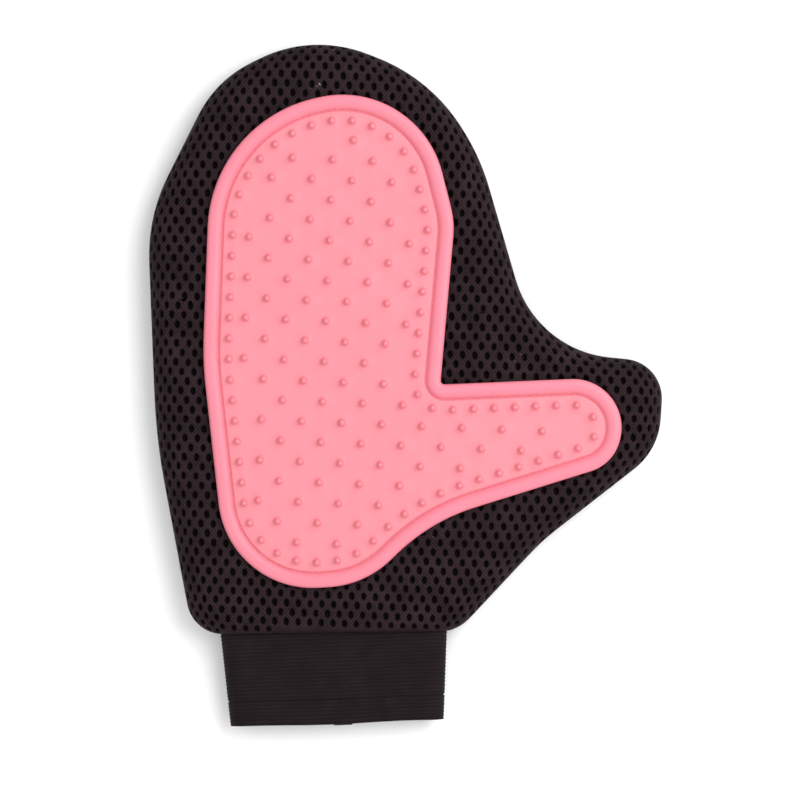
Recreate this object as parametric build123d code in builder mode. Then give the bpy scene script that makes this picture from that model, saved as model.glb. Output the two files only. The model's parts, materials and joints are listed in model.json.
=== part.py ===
"""A pet grooming mitt lying on its back, palm up: a spacer-mesh mitt with one thumb, a rubber
pad with nubs on the palm, and a ribbed elastic cuff.

Millimetres. +X points to the thumb, +Y to the fingertips, +Z out of the palm. The origin is on
the surface that the mitt lies on, under the middle of its outline.
"""

import os
from math import cos, radians, sin, tan

from build123d import *

# Mitt outline, seen from the palm
palm_side_x = -91  # little-finger side
fingertip_y = 124  # corner of the fingertip arc, whose top lies 4 lower
thumb_tip_x = 91
thumb_top_y = 8
thumb_under_y = -23
wrist_y = -88  # where the mesh ends and the cuff comes out

# Cloth and seams
cloth = 3.0  # spacer mesh
mitt_thickness = 18.0
seam_z = 8.0  # plane of the side seam
palm_round = 7.5
back_round = 6.0
seam_allowance = 4.0
pressed_cloth = 1.5  # spacer mesh flattened in the seam
thread = 0.7
thread_gap = 0.1

# Rubber pad
pad_left_margin = 23.0  # from the mitt's little-finger side
pad_tip_margin = 16.0  # from the mitt's fingertip corner
pad_thumb_margin = 9.0  # from the mitt's thumb tip
pad_field = 1.6
pad_rim = 5.0
pad_rim_rise = 1.0
rim_round = 0.9
groove = 0.9
groove_depth = 0.8
stitch_height = 0.4

# Nubs
nub_tip_radius = 1.15
nub_foot_radius = 2.1
nub_height = 2.7
nub_foot_height = 0.7
nub_column = 14.0
nub_row = 7.05
nub_edge_inset = 9.0
nub_edge_pitch = 7.2
nub_apart = 4.6  # least distance of the inner nubs from the edge row
nub_fold_clear = 2.6

# Folds: straight lines between two rows or columns of nubs
pad_turn = -2.4
fold_gap = 0.4
finger_fold = (-26.7, 46.2)
thumb_fold = (51.2, -15.0)
first_nub = (-26.7, 50.35)

# Cuff
cuff_x = -25.3
cuff_turn = 2.0
cuff_width = 79.5
cuff_taper = 4.5  # how much narrower its open end is
cuff_headroom = 0.5  # between the cuff and the cloth, above it and below it
mouth_margin_left = 9.95  # from the cuff to the mitt's bottom corner
mouth_margin_right = 3.55
cuff_length = 31.7
cuff_inside = 10.0
cuff_wall = 1.2
cuff_droop = 2.0
cuff_clearance = 0.3
flap_x = 2.0
flap_width = 7.6
flap_thickness = 1.1
flap_reach = 1.3  # how far the flap shows past the cuff's edge

cuff_z = mitt_thickness / 2
cuff_height = mitt_thickness - 2 * cloth - 2 * cuff_headroom
cuff_end_width = cuff_width - cuff_taper
mouth_left_x = cuff_x - cuff_width / 2 - mouth_margin_left
mouth_right_x = cuff_x + cuff_width / 2 + mouth_margin_right
pad_bottom = mitt_thickness
field_z = pad_bottom + pad_field
rim_z = field_z + pad_rim_rise
far = 400.0  # longer than anything here, for cutting blocks

# x, y and radius of each corner, clockwise from the little-finger side
mitt_corners = [
    (palm_side_x, fingertip_y - 65, 62),
    (palm_side_x + 24, fingertip_y - 17, 41),
    (palm_side_x + 58, fingertip_y, 47),
    (palm_side_x + 99, fingertip_y - 16, 61),
    (palm_side_x + 117, fingertip_y - 43, 79),
    (palm_side_x + 137, thumb_top_y + 4, 38),
    (thumb_tip_x, thumb_top_y, 14),
    (thumb_tip_x - 2, thumb_under_y, 24),
    (palm_side_x + 139, thumb_under_y - 32, 69),
    (mouth_right_x, wrist_y + 1, 15),
    (mouth_left_x, wrist_y, 13),
    (palm_side_x + 3, thumb_under_y + 4, 233),
]

pad_left_x = palm_side_x + pad_left_margin
pad_tip_y = fingertip_y - pad_tip_margin
pad_thumb_x = thumb_tip_x - pad_thumb_margin
pad_corners = [
    (pad_left_x, pad_tip_y - 16, 48),
    (pad_left_x + 72, pad_tip_y, 36),
    (pad_left_x + 85, pad_tip_y - 51, 31),
    (pad_left_x + 80, thumb_top_y - 8, 1),
    (pad_thumb_x, thumb_top_y - 5, 17),
    (pad_thumb_x - 10, thumb_under_y - 5, 15),
    (pad_left_x + 76, thumb_under_y - 25, 68),
    (pad_left_x + 54, wrist_y + 18, 34),
    (pad_left_x + 6, wrist_y + 15, 33),
    (pad_left_x - 3, thumb_top_y, 115),
]


def rounded(corners):
    """The corners, with each radius small enough for its arc to fit between its neighbours' arcs."""
    count = len(corners)
    spots = [Vector(x, y) for x, y, radius in corners]
    runs = [spots[(i + 1) % count] - spots[i] for i in range(count)]
    turns = [radians(runs[i - 1].get_angle(runs[i])) for i in range(count)]
    reach = [corners[i][2] * tan(turns[i] / 2) for i in range(count)]
    room = [runs[i].length / (reach[i] + reach[(i + 1) % count]) for i in range(count)]
    return [(*corners[i][:2], corners[i][2] * min(1, room[i - 1], room[i])) for i in range(count)]


def outline_face(corners, inset, height):
    """The outline set in by inset, as a face at this height."""
    points = []
    radii = []
    corners = rounded(corners)
    for i, (x, y, radius) in enumerate(corners):
        corner = Vector(x, y)
        come = (corner - Vector(*corners[i - 1][:2])).normalized()
        go = (Vector(*corners[(i + 1) % len(corners)][:2]) - corner).normalized()
        inwards = Vector(come.Y + go.Y, -come.X - go.X)  # the outline runs clockwise
        points.append(corner + inwards * inset / (1 + come.dot(go)))
        outer_corner = come.cross(go).Z < 0
        radii.append(radius - inset if outer_corner else radius + inset)
    with BuildSketch(Plane.XY.offset(height)) as sketch:
        with BuildLine():
            FilletPolyline(*points, radius=radii, close=True)
        make_face()
    return sketch.sketch


def mitt_face(inset, height):
    return outline_face(mitt_corners, inset, height)


def pad_face(inset, height):
    return outline_face(pad_corners, inset, height)


def band(face_at, inset, width, height, rise):
    """A thread's path: a thin band that follows an outline."""
    with BuildPart() as ring:
        extrude(face_at(inset, height), amount=rise)
        extrude(face_at(inset + width, height), amount=rise, mode=Mode.SUBTRACT)
    return ring.part


def cuff_plane(distance):
    """The cuff's cross-section plane, this far out of the wrist opening."""
    turn = radians(cuff_turn)
    drop = max(distance, 0) * cuff_droop / cuff_length
    origin = (cuff_x + distance * sin(turn), wrist_y + 0.8 - distance * cos(turn), cuff_z - drop)
    return Plane(origin=origin, x_dir=(cos(turn), sin(turn), 0), z_dir=(sin(turn), -cos(turn), 0))


def cuff_slot(distance, width, height):
    with BuildSketch(cuff_plane(distance)) as sketch:
        SlotOverall(width, height)
    return sketch.sketch


def hem_block():
    """Room that the turned-in mesh fills between the wrist opening and the pocket."""
    with BuildPart() as block:
        with BuildSketch(cuff_plane(-cuff_inside)):
            Rectangle(far, far)
        extrude(amount=far)
    return block.part


def cuff_hole():
    """The cuff's way through the turned-in mesh, with its clearance."""
    room = 2 * cuff_clearance
    with BuildPart() as hole:
        extrude(cuff_slot(-cuff_inside - 1, cuff_width + room, cuff_height + room), amount=cuff_inside + 6)
    return hole.part


# ---- Mesh panels ----

with BuildPart() as palm_hollow:
    extrude(mitt_face(cloth, seam_z + pressed_cloth), amount=mitt_thickness - cloth - seam_z - pressed_cloth)
    fillet(palm_hollow.faces().sort_by(Axis.Z)[-1].edges(), radius=palm_round - cloth)
    extrude(mitt_face(cloth + seam_allowance, seam_z), amount=pressed_cloth)
    add(hem_block(), mode=Mode.SUBTRACT)

with BuildPart() as palm_mesh:
    extrude(mitt_face(0, seam_z), amount=mitt_thickness - seam_z)
    fillet(palm_mesh.faces().sort_by(Axis.Z)[-1].edges(), radius=palm_round)
    add(palm_hollow.part, mode=Mode.SUBTRACT)
    add(cuff_hole(), mode=Mode.SUBTRACT)

with BuildPart() as back_hollow:
    extrude(mitt_face(cloth, cloth), amount=seam_z - cloth - pressed_cloth)
    fillet(back_hollow.faces().sort_by(Axis.Z)[0].edges(), radius=back_round - cloth)
    extrude(mitt_face(cloth + seam_allowance, seam_z - pressed_cloth), amount=pressed_cloth)
    add(hem_block(), mode=Mode.SUBTRACT)

with BuildPart() as back_mesh:
    extrude(mitt_face(0, 0), amount=seam_z)
    fillet(back_mesh.faces().sort_by(Axis.Z)[0].edges(), radius=back_round)
    add(back_hollow.part, mode=Mode.SUBTRACT)
    add(cuff_hole(), mode=Mode.SUBTRACT)

with BuildPart() as side_seam_thread:
    seam_inset = cloth + seam_allowance + thread_gap
    add(band(mitt_face, seam_inset, thread, seam_z - pressed_cloth, 2 * pressed_cloth))
    add(hem_block(), mode=Mode.SUBTRACT)


# ---- Rubber pad ----

pad_frame = Plane(origin=(0, 0, 0), x_dir=(cos(radians(pad_turn)), sin(radians(pad_turn)), 0), z_dir=(0, 0, 1))


def past_folds(spot):
    """How far a spot lies past the finger fold and past the thumb fold."""
    past_fingers = (spot - Vector(*finger_fold)).dot(pad_frame.y_dir)
    past_thumb = (spot - Vector(*thumb_fold)).dot(pad_frame.x_dir)
    return past_fingers, past_thumb


def body_at(spot):
    past_fingers, past_thumb = past_folds(spot)
    if past_fingers > 0:
        return "finger"
    return "thumb" if past_thumb > 0 else "hand"


def clear_of_folds(spot):
    return min(abs(past) for past in past_folds(spot)) > nub_fold_clear


def nub_spots():
    """One row along the pad's edge, and a staggered grid inside it."""
    edge = pad_face(nub_edge_inset, field_z).faces()[0].outer_wire()
    count = round(edge.length / nub_edge_pitch)
    spots = [edge.position_at(i / count) for i in range(count)]
    inner = pad_face(nub_edge_inset + nub_apart, field_z).faces()[0]
    rows = int(far / nub_row)
    for row in range(-rows, rows):
        for column in range(-20, 20):
            along = (column + row % 2 / 2) * nub_column
            spot = Vector(*first_nub, field_z) + pad_frame.x_dir * along + pad_frame.y_dir * row * nub_row
            if inner.is_inside(spot):
                spots.append(spot)
    return [spot for spot in spots if clear_of_folds(spot)]


with BuildPart() as nub:
    with BuildSketch(Plane.XZ):
        with BuildLine():
            neck = (nub_tip_radius, nub_foot_height)
            shoulder = (nub_tip_radius, nub_height - nub_tip_radius)
            Polyline((nub_foot_radius, 0), (nub_foot_radius, -groove_depth), (0, -groove_depth), (0, nub_height))
            RadiusArc((nub_foot_radius, 0), neck, -1.4 * nub_foot_height)
            Line(neck, shoulder)
            RadiusArc(shoulder, (0, nub_height), -nub_tip_radius)
        make_face()
    revolve(axis=Axis.Z)

with BuildPart() as rubber_pad:
    extrude(pad_face(0, pad_bottom), amount=pad_field + pad_rim_rise)
    fillet(rubber_pad.faces().sort_by(Axis.Z)[-1].edges(), radius=rim_round)
    extrude(pad_face(pad_rim, field_z), amount=pad_rim_rise, mode=Mode.SUBTRACT)
    add(band(pad_face, pad_rim, groove, field_z - groove_depth, groove_depth), mode=Mode.SUBTRACT)

thread_inset = pad_rim + (groove - thread) / 2
needle_z = field_z - groove_depth
bobbin_z = mitt_thickness - cloth - stitch_height
pad_needle_thread = band(pad_face, thread_inset, thread, needle_z, stitch_height)
pad_bobbin_thread = band(pad_face, thread_inset, thread, bobbin_z, stitch_height)


# ---- Cuff ----

flap_bottom = cuff_wall / 2 - cuff_height / 2  # half-way into the wall, so that the two are one piece
flap_top = cuff_wall + flap_thickness - cuff_height / 2

with BuildPart() as cuff_flap:
    for start, stop in ((-cuff_inside, 0), (0, cuff_length + flap_reach)):
        with BuildSketch(cuff_plane(start), cuff_plane(stop)):
            with Locations((flap_x, flap_bottom)):
                Rectangle(flap_width, flap_top - flap_bottom, align=(Align.CENTER, Align.MIN))
        loft()

with BuildPart() as cuff_band:
    for inset, mode in ((0, Mode.ADD), (2 * cuff_wall, Mode.SUBTRACT)):
        neck = cuff_slot(-cuff_inside, cuff_width - inset, cuff_height - inset)
        extrude(neck, amount=cuff_inside, mode=mode)
        wrist = cuff_slot(0, cuff_width - inset, cuff_height - inset)
        end = cuff_slot(cuff_length, cuff_end_width - inset, cuff_height - inset)
        loft([wrist, end], mode=mode)
    add(cuff_flap.part)

with BuildPart() as cuff_closing_thread:
    for side in (-1, 1):
        stitch_x = flap_x + side * (flap_width / 2 - thread)
        for start, stop in ((-cuff_inside, 0), (0, cuff_length)):
            with BuildSketch(cuff_plane(start), cuff_plane(stop)):
                with Locations((stitch_x, flap_top)):
                    Rectangle(thread, stitch_height, align=(Align.CENTER, Align.MIN))
            loft()

with BuildPart() as cuff_overlock_thread:
    extrude(cuff_slot(-cuff_inside - 1, cuff_width + thread, cuff_height + thread), amount=1 - thread_gap)
    inner = 2 * cuff_wall + thread
    extrude(
        cuff_slot(-cuff_inside - 1, cuff_width - inner, cuff_height - inner),
        amount=1 - thread_gap,
        mode=Mode.SUBTRACT,
    )


# ---- Division at the folds, and export ----


def write(part, name):
    part.label = name
    export_step(part, f"parts/{name}.step")
    print(name, "solids", len(part.solids()), "volume", round(part.volume))


divided = {
    "palm_mesh": palm_mesh.part,
    "back_mesh": back_mesh.part,
    "rubber_pad": rubber_pad.part,
    "pad_needle_thread": pad_needle_thread,
    "pad_bobbin_thread": pad_bobbin_thread,
    "side_seam_thread": side_seam_thread.part,
}
fingers_plane = Plane(origin=(*finger_fold, 0), z_dir=pad_frame.y_dir)
thumb_plane = Plane(origin=(*thumb_fold, 0), z_dir=pad_frame.x_dir)
below_fingers = (fingers_plane.offset(-fold_gap / 2), Keep.BOTTOM)
cuts = {
    "hand": [below_fingers, (thumb_plane.offset(-fold_gap / 2), Keep.BOTTOM)],
    "finger": [(fingers_plane.offset(fold_gap / 2), Keep.TOP)],
    "thumb": [below_fingers, (thumb_plane.offset(fold_gap / 2), Keep.TOP)],
}
spots = nub_spots()

os.makedirs("parts", exist_ok=True)
for piece, whole in divided.items():
    for body, body_cuts in cuts.items():
        with BuildPart() as divided_piece:
            add(whole)
            for plane, keep in body_cuts:
                split(bisect_by=plane, keep=keep)
            if piece == "rubber_pad":
                with Locations(*[spot for spot in spots if body_at(spot) == body]):
                    add(nub.part)
        write(divided_piece.part, f"{body}_{piece}")

write(cuff_band.part, "cuff_band")
write(cuff_closing_thread.part, "cuff_closing_thread")
write(cuff_overlock_thread.part, "cuff_overlock_thread")
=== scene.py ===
import json
import math
import bpy
import numpy as np
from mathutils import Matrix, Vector
from mathutils.bvhtree import BVHTree
from mathutils.geometry import delaunay_2d_cdt
import bmesh


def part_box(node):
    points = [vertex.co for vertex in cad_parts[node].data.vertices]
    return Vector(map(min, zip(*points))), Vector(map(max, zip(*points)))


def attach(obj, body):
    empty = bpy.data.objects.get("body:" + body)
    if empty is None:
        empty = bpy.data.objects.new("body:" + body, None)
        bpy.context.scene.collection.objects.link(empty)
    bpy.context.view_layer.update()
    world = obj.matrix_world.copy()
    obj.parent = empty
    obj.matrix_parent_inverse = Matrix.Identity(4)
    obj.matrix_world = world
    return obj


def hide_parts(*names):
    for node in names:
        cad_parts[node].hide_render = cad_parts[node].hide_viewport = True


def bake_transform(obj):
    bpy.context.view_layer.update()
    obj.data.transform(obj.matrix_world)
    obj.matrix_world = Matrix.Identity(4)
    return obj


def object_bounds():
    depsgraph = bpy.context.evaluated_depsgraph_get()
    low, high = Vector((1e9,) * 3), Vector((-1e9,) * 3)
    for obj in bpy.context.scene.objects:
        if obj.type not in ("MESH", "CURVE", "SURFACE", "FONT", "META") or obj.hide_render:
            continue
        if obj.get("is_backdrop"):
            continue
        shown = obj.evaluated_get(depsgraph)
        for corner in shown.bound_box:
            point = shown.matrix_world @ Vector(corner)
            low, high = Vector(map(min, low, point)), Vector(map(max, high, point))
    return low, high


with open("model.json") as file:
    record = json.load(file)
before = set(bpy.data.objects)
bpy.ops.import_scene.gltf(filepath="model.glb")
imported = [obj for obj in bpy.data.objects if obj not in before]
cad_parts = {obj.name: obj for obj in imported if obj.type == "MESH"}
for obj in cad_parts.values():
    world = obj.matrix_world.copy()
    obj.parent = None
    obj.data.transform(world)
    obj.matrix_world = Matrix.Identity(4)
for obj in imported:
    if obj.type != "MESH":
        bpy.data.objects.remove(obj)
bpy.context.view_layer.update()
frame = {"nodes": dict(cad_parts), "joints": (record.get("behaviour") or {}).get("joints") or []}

mm = 0.001
scene = bpy.context.scene
parts = ("hand", "finger", "thumb")

camera = {
    "over": (-2.1 * mm, -5.4 * mm),
    "plane": 12 * mm,
    "width": 280.7 * mm,
    "lens": 200,
}

stage = {
    "floor": (0.93, 0.93, 0.93),
    "floorHalf": 3,
    "world": 0.80,
    "key": {"place": (0.55, 0.30, 0.80), "size": 0.9, "watts": 9.0},
    "fill": {"place": (-0.5, -0.25, 0.85), "size": 1.0, "watts": 1.5},
    "front": {"place": (0.1, -0.9, 0.5), "size": 0.8, "watts": 1.5},
}

hinges = {j["name"]: j for j in frame["joints"]}


def hingeFrame(name):
    joint = hinges[name]
    along = np.array([-joint["axis"][1], joint["axis"][0]])
    return np.array(joint["pos_m"][:2]), along


fingerFold, fingerWay = hingeFrame("finger_curl")
thumbFold, thumbWay = hingeFrame("thumb_fold")
acrossWay = np.array([fingerWay[1], -fingerWay[0]])


def aim(obj, place, target):
    obj.location = place
    way = Vector(target) - Vector(place)
    obj.rotation_euler = way.to_track_quat("-Z", "Y").to_euler()


def addLight(name, spec):
    lamp = bpy.data.lights.new(name, "AREA")
    lamp.shape = "DISK"
    lamp.size = spec["size"]
    lamp.energy = spec["watts"]
    obj = bpy.data.objects.new(name, lamp)
    scene.collection.objects.link(obj)
    obj.visible_camera = False
    aim(obj, spec["place"], (0, 0, 0))


cameraData = bpy.data.cameras.new("overhead")
cameraData.lens = camera["lens"]
cameraData.clip_end = 20
cameraObject = bpy.data.objects.new("overhead", cameraData)
scene.collection.objects.link(cameraObject)
reach = camera["width"] / 2 / (cameraData.sensor_width / 2 / camera["lens"])
cameraObject.location = (*camera["over"], camera["plane"] + reach)
scene.camera = cameraObject

for lightName in ("key", "fill", "front"):
    addLight(lightName, stage[lightName])

world = bpy.data.worlds.new("studio")
world.use_nodes = True
world.node_tree.nodes["Background"].inputs["Color"].default_value = (1, 1, 1, 1)
world.node_tree.nodes["Background"].inputs["Strength"].default_value = stage["world"]
scene.world = world
scene.view_settings.view_transform = "Standard"
print("camera and light set")


def insideRing(points, ring):
    found = np.zeros(len(points), bool)
    nxt = np.roll(ring, -1, 0)
    for a, b in zip(ring, nxt):
        crosses = (a[1] > points[:, 1]) != (b[1] > points[:, 1])
        if crosses.any():
            x = a[0] + (points[crosses, 1] - a[1]) * (b[0] - a[0]) / (b[1] - a[1])
            found[np.flatnonzero(crosses)[points[crosses, 0] < x]] ^= True
    return found


def ringNormals(ring):
    tangent = np.roll(ring, -1, 0) - np.roll(ring, 1, 0)
    tangent /= np.linalg.norm(tangent, axis=1)[:, None]
    return np.stack([-tangent[:, 1], tangent[:, 0]], 1)


def resample(ring, spacing, cornerWeight=0.0):
    # even steps along the ring, closer together where it turns
    nxt = np.roll(ring, -1, 0)
    way = nxt - ring
    length = np.linalg.norm(way, axis=1)
    angle = np.arctan2(way[:, 1], way[:, 0])
    turn = np.abs((np.roll(angle, -1) - angle + math.pi) % math.tau - math.pi)
    weight = length + cornerWeight * (turn + np.roll(turn, 1)) / 2
    total = np.concatenate([[0], np.cumsum(weight)])
    count = int(round(total[-1] / spacing))
    closed = np.vstack([ring, ring[:1]])
    at = np.linspace(0, total[-1], count, endpoint=False)
    return np.stack([np.interp(at, total, closed[:, k]) for k in (0, 1)], 1)


def soften(values, passes):
    for _ in range(passes):
        values = 0.25 * np.roll(values, 1, 0) + 0.5 * values + 0.25 * np.roll(values, -1, 0)
    return values


def ringField(points, ring):
    # signed distance into the ring, the way inwards and the place along it in samples
    nxt = np.roll(ring, -1, 0)
    segment = nxt - ring
    square = (segment ** 2).sum(1)
    normals = ringNormals(ring)
    distance = np.empty(len(points))
    place = np.empty(len(points))
    for start in range(0, len(points), 1200):
        p = points[start:start + 1200]
        rel = p[:, None, :] - ring[None]
        t = np.clip((rel * segment[None]).sum(2) / square[None], 0, 1)
        gap = rel - t[:, :, None] * segment[None]
        dist = (gap ** 2).sum(2)
        best = dist.argmin(1)
        row = np.arange(len(p))
        distance[start:start + 1200] = np.sqrt(dist[row, best])
        place[start:start + 1200] = best + t[row, best]
    inside = insideRing(points, ring)
    distance = np.where(inside, distance, -distance)
    way = ringValue(normals, place)
    way /= np.linalg.norm(way, axis=1)[:, None]
    return distance, way, place


def ringValue(values, place):
    count = len(values)
    low = np.floor(place).astype(int) % count
    part = place - np.floor(place)
    if values.ndim == 2:
        part = part[:, None]
    return values[low] * (1 - part) + values[(low + 1) % count] * part


def traceRing(nodes, middle, height, spacing, cornerWeight=0.0, gate=None):
    verts, faces = [], []
    for name in nodes:
        mesh = frame["nodes"][name].data
        base = len(verts)
        verts += [v.co.copy() for v in mesh.vertices]
        faces += [[base + i for i in p.vertices] for p in mesh.polygons]
    tree = BVHTree.FromPolygons(verts, faces)
    found = []
    for step in range(4320):
        angle = step * math.tau / 4320
        way = Vector((math.cos(angle), math.sin(angle), 0))
        if gate and way.y < 0:  # an opening in the wall is bridged
            x = middle[0] + (gate[2] - middle[1]) * way.x / way.y
            if gate[0] < x < gate[1]:
                continue
        hit = tree.ray_cast(Vector((*middle, height)) + way * 0.3, -way)[0]
        if hit is not None:
            found.append((hit.x, hit.y))
    found = np.array(found)
    for fold, foldWay in ((fingerFold, fingerWay), (thumbFold, thumbWay)):  # the gaps at the folds
        found = found[np.abs((found - fold) @ foldWay) > 0.4 * mm]
    ring = resample(found, 0.4 * mm)
    ring = soften(ring, 4)
    return soften(resample(ring, spacing, cornerWeight), 1)


cuffLow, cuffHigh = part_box("cuff_band")
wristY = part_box("hand_palm_mesh")[0].y
mittRing = traceRing(
    [p + "_palm_mesh" for p in parts], (0.0, -10 * mm), 9 * mm, 1.6 * mm, 5 * mm,
    gate=(cuffLow.x - mm, cuffHigh.x + mm, wristY),
)
padRing = traceRing([p + "_rubber_pad" for p in parts], (-10 * mm, -15 * mm), 18.5 * mm, 1.2 * mm, 10 * mm)
print("outlines traced:", len(mittRing), len(padRing))


def nubSpots():
    # the round top of each nub on the pad's solids
    top = max(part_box(p + "_rubber_pad")[1].z for p in parts)
    spots = []
    for p in parts:
        co = np.array([v.co for v in frame["nodes"][p + "_rubber_pad"].data.vertices])
        co = co[np.abs(co[:, 2] - (top - 1.15 * mm)) < 0.01 * mm][:, :2]
        used = np.zeros(len(co), bool)
        for i in range(len(co)):
            if not used[i]:
                near = (np.hypot(*(co - co[i]).T) < 2.6 * mm) & ~used
                used |= near
                spots.append((co[near].max(0) + co[near].min(0)) / 2)
    return np.array(spots)


solidNubs = nubSpots()
print("nubs found:", len(solidNubs))


def foldPlace(points, fold, way):
    return (points - fold) @ way


cut = {
    "back": -19.0 * mm,  # from the finger fold, where neither hinge bends anything
    "zigzag": 0.5 * mm,
    "step": 4.35 * mm,
}


def cutLine(across, level, zigzag):
    phase = across / cut["step"] % 1.0
    return level + zigzag * (np.abs(phase * 2 - 1) * 2 - 1)


def overCut(points, level, zigzag):
    along = foldPlace(points, fingerFold, fingerWay)
    across = foldPlace(points, fingerFold, acrossWay)
    return along - cutLine(across, level, zigzag)


def pinToCut(rings, level, zigzag, shared=False):
    # one sample of each ring on each side is moved onto the cut; shared takes the first ring's samples
    picks = []
    for ring in rings:
        if shared and picks:
            found = picks[0]
        else:
            side = overCut(ring, level, zigzag)
            found = []
            for i in np.flatnonzero(np.sign(side) != np.sign(np.roll(side, -1))):
                j = (i + 1) % len(side)
                found.append(i if abs(side[i]) < abs(side[j]) else j)
            found.sort(key=lambda k: ring[k] @ acrossWay)
        for k in found:
            for _ in range(4):
                off = overCut(ring[k:k + 1], level, zigzag)[0]
                tangent = ring[(k + 1) % len(ring)] - ring[k - 1]
                tangent /= np.linalg.norm(tangent)
                ring[k] -= tangent * off / (tangent @ fingerWay)
        picks.append(found)
    return picks


def lineThrough(ids, picks, lineIds):
    # the cut's own line, from the outer ring on one side to the outer ring on the other
    left = [i[k[0]] for i, k in zip(ids, picks)]
    right = [i[k[1]] for i, k in zip(ids, picks)]
    return left + lineIds + right[::-1]


def cutPoints(a, b, level, zigzag, step):
    # points along the cut between two pinned samples
    low = foldPlace(a, fingerFold, acrossWay)
    high = foldPlace(b, fingerFold, acrossWay)
    half = cut["step"] / 2
    stops = np.arange(math.ceil(low / half + 0.2), math.floor(high / half - 0.2) + 1) * half
    if not zigzag:
        stops = stops[::max(1, int(step / half))]
    line = cutLine(stops, level, zigzag)
    return fingerFold + stops[:, None] * acrossWay + line[:, None] * fingerWay


def linkMesh(name, verts, faces):
    mesh = bpy.data.meshes.new(name)
    mesh.from_pydata([tuple(v) for v in verts], [], [tuple(f) for f in faces])
    mesh.update()
    obj = bpy.data.objects.new(name, mesh)
    scene.collection.objects.link(obj)
    return obj


def addValues(mesh, name, values):
    layer = mesh.attributes.new(name, "FLOAT", "POINT")
    layer.data.foreach_set("value", np.asarray(values, np.float32))


def fillFlat(points, border, loops, lines, loopOf):
    # triangles inside the border, round the closed loops and along the lines
    edges = [(a, b) for loop in [border] + loops for a, b in zip(loop, loop[1:] + loop[:1])]
    edges += [(a, b) for line in lines for a, b in zip(line, line[1:])]
    used = sorted({i for edge in edges for i in edge} | set(np.flatnonzero(loopOf == -2)))
    place = {v: k for k, v in enumerate(used)}
    result = delaunay_2d_cdt(
        [Vector(points[v] / mm) for v in used],
        [(place[a], place[b]) for a, b in edges], [], 0, 1e-6,
    )
    back = [used[origin[0]] if origin else None for origin in result[3]]
    onBorder = {v: k for k, v in enumerate(border)}
    count = len(border)
    tris = []
    for face in result[2]:
        ids = [back[i] for i in face]
        if None in ids:
            print("outlines cross near", result[0][face[0]])
            continue
        owner = {loopOf[i] for i in ids}
        if len(owner) == 1 and owner.pop() >= 0:
            continue
        if all(i in onBorder for i in ids):  # outside the border its samples run backwards
            a, b, c = (onBorder[i] for i in ids)
            if (b - a) % count + (c - b) % count + (a - c) % count != count:
                continue
        tris.append(ids)
    tris = np.array(tris)
    return tris, points[tris].mean(1)


def ringQuads(outer, inner):
    count = len(outer)
    return [
        (outer[i], outer[(i + 1) % count], inner[(i + 1) % count], inner[i])
        for i in range(count)
    ]


def closeCut(mesh):
    # a wall across the open end that the cut leaves
    bm = bmesh.new()
    bm.from_mesh(mesh)
    edges = [e for e in bm.edges if e.is_boundary]
    made = bmesh.ops.holes_fill(bm, edges=edges, sides=0)["faces"]
    bmesh.ops.triangulate(bm, faces=made, ngon_method="EAR_CLIP")
    bm.to_mesh(mesh)
    bm.free()


def ownFaces(faces):
    # the points that some faces use, and the faces numbered by them
    used = sorted({i for f in faces for i in f})
    place = {v: k for k, v in enumerate(used)}
    return used, [[place[i] for i in f] for f in faces]


def cutPieces(names, verts, faces, upper, values):
    # one object each side of the cut, with the same shading where they meet
    whole = linkMesh("whole", verts, faces)
    normals = np.zeros(len(verts) * 3)
    whole.data.vertices.foreach_get("normal", normals)
    normals = normals.reshape(-1, 3)
    bpy.data.objects.remove(whole)
    made = []
    for name, wanted in zip(names, (True, False)):
        used, own = ownFaces([f for f, u in zip(faces, upper) if bool(u) == wanted])
        obj = linkMesh(name, verts[used], own)
        for key, value in values.items():
            addValues(obj.data, key, value[used])
        closeCut(obj.data)
        obj.data.shade_smooth()
        obj.data.normals_split_custom_set_from_vertices([tuple(n) for n in normals[used]])
        made.append(obj)
    return made


class NodeTools:
    # short ways to put nodes into one tree
    def __init__(self, tree):
        self.tree = tree

    def add(self, kind, **settings):
        node = self.tree.nodes.new(kind)
        for key, value in settings.items():
            setattr(node, key, value)
        return node

    def join(self, a, b):
        self.tree.links.new(a, b)

    def give(self, socket, value):
        if isinstance(value, bpy.types.NodeSocket):
            self.join(value, socket)
        elif value is not None:
            socket.default_value = value

    def calc(self, operation, a, b=None, clamp=False):
        node = self.add("ShaderNodeMath", operation=operation, use_clamp=clamp)
        self.give(node.inputs[0], a)
        self.give(node.inputs[1], b)
        return node.outputs[0]

    def mix(self, factor, a, b, blend="MIX"):
        node = self.add("ShaderNodeMix", data_type="RGBA", blend_type=blend)
        for k, value in ((0, factor), (6, a), (7, b)):
            self.give(node.inputs[k], value)
        return node.outputs[2]

    def shaded(self, colour, shade):
        # a colour made lighter or darker by a number
        grey = self.add("ShaderNodeCombineColor")
        for k in range(3):
            self.join(shade, grey.inputs[k])
        return self.mix(1.0, colour, grey.outputs[0], "MULTIPLY")

    def noise(self, vector, scale, detail):
        node = self.add("ShaderNodeTexNoise")
        node.inputs["Detail"].default_value = detail
        self.join(vector, node.inputs["Vector"])
        self.join(scale, node.inputs["Scale"])
        return node.outputs[0]


class GroupNodes(NodeTools):
    # a node group with named inputs and outputs
    def __init__(self, name, kind, inputs, outputs):
        super().__init__(bpy.data.node_groups.new(name, kind))
        for way, rows in (("INPUT", inputs), ("OUTPUT", outputs)):
            for label, socketKind, *value in rows:
                socket = self.tree.interface.new_socket(
                    label, in_out=way, socket_type="NodeSocket" + socketKind)
                if value:
                    socket.default_value = value[0]
        self.begin = self.add("NodeGroupInput").outputs
        self.out = self.add("NodeGroupOutput").inputs


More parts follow.
